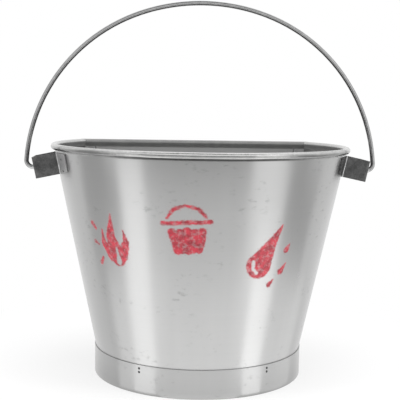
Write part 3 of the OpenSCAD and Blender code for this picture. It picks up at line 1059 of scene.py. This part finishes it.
def makeAllSpots(material):
    lean = bucket["lean"]
    earZ = wallHigh.z - ear["drop"]
    earProud = bucket["slip"] + ear["sheet"]
    flangeRadius = wallRadius(earZ) + earProud
    halfFlange = math.degrees(ear["flange"] / flangeRadius) / 2
    forward = bucket["axisY"] - pinPlace.y
    frontEdge = math.degrees(math.asin((forward + ear["width"] / 2) / flangeRadius))
    rearEdge = math.degrees(math.asin((forward - ear["width"] / 2) / flangeRadius))
    earPlaces = []
    for way in (-1, 1):
        for angle in (90 - frontEdge - halfFlange, 90 - rearEdge + halfFlange):
            for z in (earZ - spot["earPitch"] / 2, earZ + spot["earPitch"] / 2):
                earPlaces.append(onCone(way * angle, z, earProud, lean))
                inside, normal = onCone(way * angle, z, -bucket["sheet"] * math.cos(lean), lean)
                earPlaces.append((inside, -normal))
    makeSpots("earSpots", "ear_welds", earPlaces, material)
    footPlaces = []
    proud = bucket["slip"] + bucket["sheet"]
    for z in (bucket["footHeight"] - drop for drop in spot["footDrops"]):
        for way in (-1, 1):
            for angle in spot["footAngles"]:
                footPlaces.append(onCone(way * angle, z, proud, 0))
            flat = Vector((way * spot["backX"], bucket["axisY"] + backAt(0) + proud, z))
            footPlaces.append((flat, Vector((0, 1, 0))))
    makeSpots("footSpots", "foot_welds", footPlaces, material)
    seamPlaces = []
    panelLean = math.atan(bucket["taper"] * bucket["backShare"])
    normal = Vector((0, math.cos(panelLean), -math.sin(panelLean)))
    fold = frontSheet["foldWidth"]
    lowest = bucket["footHeight"] + fold
    highest = bucket["beadHeight"] - bucket["rollOuter"] - bucket["slip"] - fold
    for way in (-1, 1):
        for step in range(spot["seamCount"]):
            z = lowest + (highest - lowest) * step / (spot["seamCount"] - 1)
            x = wallRadius(z) * math.cos(math.radians(bucket["cornerAngle"])) - fold / 2
            place = Vector((way * x, bucket["axisY"] + backAt(z), z))
            seamPlaces.append((place, normal))
            seamPlaces.append((place - normal * (2 * bucket["sheet"] + bucket["slip"]), -normal))
    makeSpots("seamSpots", "seam_welds", seamPlaces, material)


def dressNodes():
    sheet = brushedSheet("brushedWall", tone=0.45, painted=True)
    flat = brushedSheet("brushedPanel", tone=0.5, curved=False)
    foot = brushedSheet("brushedFoot", tone=0.42, lowTone=0.88)
    bottom = brushedSheet("brushedBottom", tone=0.42, curved=False, roughness=0.36, smudge=0.5, grain="X")
    wire = plainSteel("rimWire", tone=0.12, roughness=0.4)
    bailSteel = plainSteel("bailSteel", tone=0.42, roughness=0.22, contrast=0.15)
    earSteel = plainSteel("earSteel", tone=0.115, roughness=0.42, contrast=0.38)
    seal = plainSteel("sealant", tone=0.14, roughness=0.6, metallic=0)
    weld = plainSteel("weldMark", tone=0.06, roughness=0.5)
    looks = {
        "front_wall": sheet, "foot_ring": foot, "back_panel": flat, "bottom_pan": bottom,
        "rim_wire_front": wire, "rim_wire_back": wire, "bail": bailSteel,
        "bottom_seal": seal, "corner_seal_left": seal, "corner_seal_right": seal,
        "ear_left": earSteel, "ear_right": earSteel,
        "seam_welds": weld, "ear_welds": weld, "foot_welds": weld,
    }
    for name, material in looks.items():
        nodes[name].data.materials[0] = material
    return looks


# gives the faces that lie on the roll, in the groove beneath it, and inside that, finishes of their own;
# those in the groove and inside it are painted shade
def finishRoll(piece, radiusOf, bead, roll, grooveShade, inner):
    grooveTop = mm(1)  # above the roll's middle
    for material in (roll, grooveShade, inner):
        piece.data.materials.append(material)
    for face in piece.data.polygons:
        radius = radiusOf(face.center)
        fromBead = Vector((radius - bead[0], face.center.z - bead[1]))
        if fromBead.length < bucket["rollOuter"] + bucket["slip"] and (fromBead.x > 0 or fromBead.y > 0):
            face.material_index = 1
        elif -frontSheet["neckDrop"] < fromBead.y < grooveTop:
            facesOut = radiusOf(face.center + face.normal * mm(1)) > radius
            face.material_index = 2 if facesOut else 3


# the corner folds lie flat on the panel; their finish is rougher than the rest of the wall and darker,
# which is painted shade in the corners
def finishFolds(piece, material):
    piece.data.materials.append(material)
    for face in piece.data.polygons:
        fromPanel = bucket["axisY"] + backAt(face.center.z) - face.center.y
        if face.material_index == 0 and fromPanel < 3 * bucket["sheet"] and abs(face.normal.y) > 0.9:
            face.material_index = len(piece.data.materials) - 1


scene.view_settings.view_transform = "Standard"
bpy.ops.object.select_all(action="DESELECT")
makeCamera()
makeFloor()
makeWorld()
makeLamps()
makeCards()
print("stage set")
looks = dressNodes()
print("nodes dressed")
frontRoll = rolledSheet("rolledFront", tone=0.78, roughness=0.2, dent=mm(0.25), shadeBelow=0.5,
                        sideTone=0.72)
# painted shade: the rear roll is a darker, duller copy of the front roll's finish
shadedBackRoll = rolledSheet("rolledBackShaded", tone=0.28, roughness=0.35, dent=mm(0.2), matt=(0.5, 0.5))
# painted shade: the groove under the roll is near black in the middle of the front, lighter towards the
# ears
grooveShade = rolledSheet("rollGrooveShade", tone=0.13, roughness=0.3, dent=mm(0.3), sideTone=3.2, matt=(0, 0.7))
# painted shade: the inside just under the roll is darker
innerRimShade = rolledSheet("innerRimShade", tone=0.3, roughness=0.35, dent=mm(0.2), matt=(0.6, 0.6))
# painted shade: the corner folds are darker than the panel
shadedFoldSheet = brushedSheet("brushedFoldShaded", tone=0.32, curved=False, roughness=0.4, smudge=0.6)
front = makeFrontSheet(looks["front_wall"])
finishRoll(front, lambda place: math.hypot(place.x, place.y - bucket["axisY"]),
           (bucket["mouth"], bucket["beadHeight"]), frontRoll, grooveShade, innerRimShade)
finishFolds(front, shadedFoldSheet)
finishRoll(makeBackSheet(looks["back_panel"]), lambda place: place.y - bucket["axisY"],
           (bucket["backY"], bucket["beadHeight"]), shadedBackRoll, shadedBackRoll, innerRimShade)
makeFootBand(looks["foot_ring"])
makeBail(looks["bail"])
# painted light: the left ear's flanges get this lighter steel, the right ear's keep the dark ear steel
litFlangeSteel = plainSteel("litFlangeSteel", tone=0.3, roughness=0.5, metallic=0.5, contrast=0.15)
# painted highlight on the ears' rounded edges and along their bends at the wall
edgeHighlightSteel = plainSteel("edgeHighlightSteel", tone=0.5, roughness=0.35, metallic=0.7)
makeEar("earLeft", "ear_left", -1, looks["ear_left"], litFlangeSteel, edgeHighlightSteel)
makeEar("earRight", "ear_right", 1, looks["ear_right"], looks["ear_right"], edgeHighlightSteel)
makeAllSpots(looks["ear_welds"])
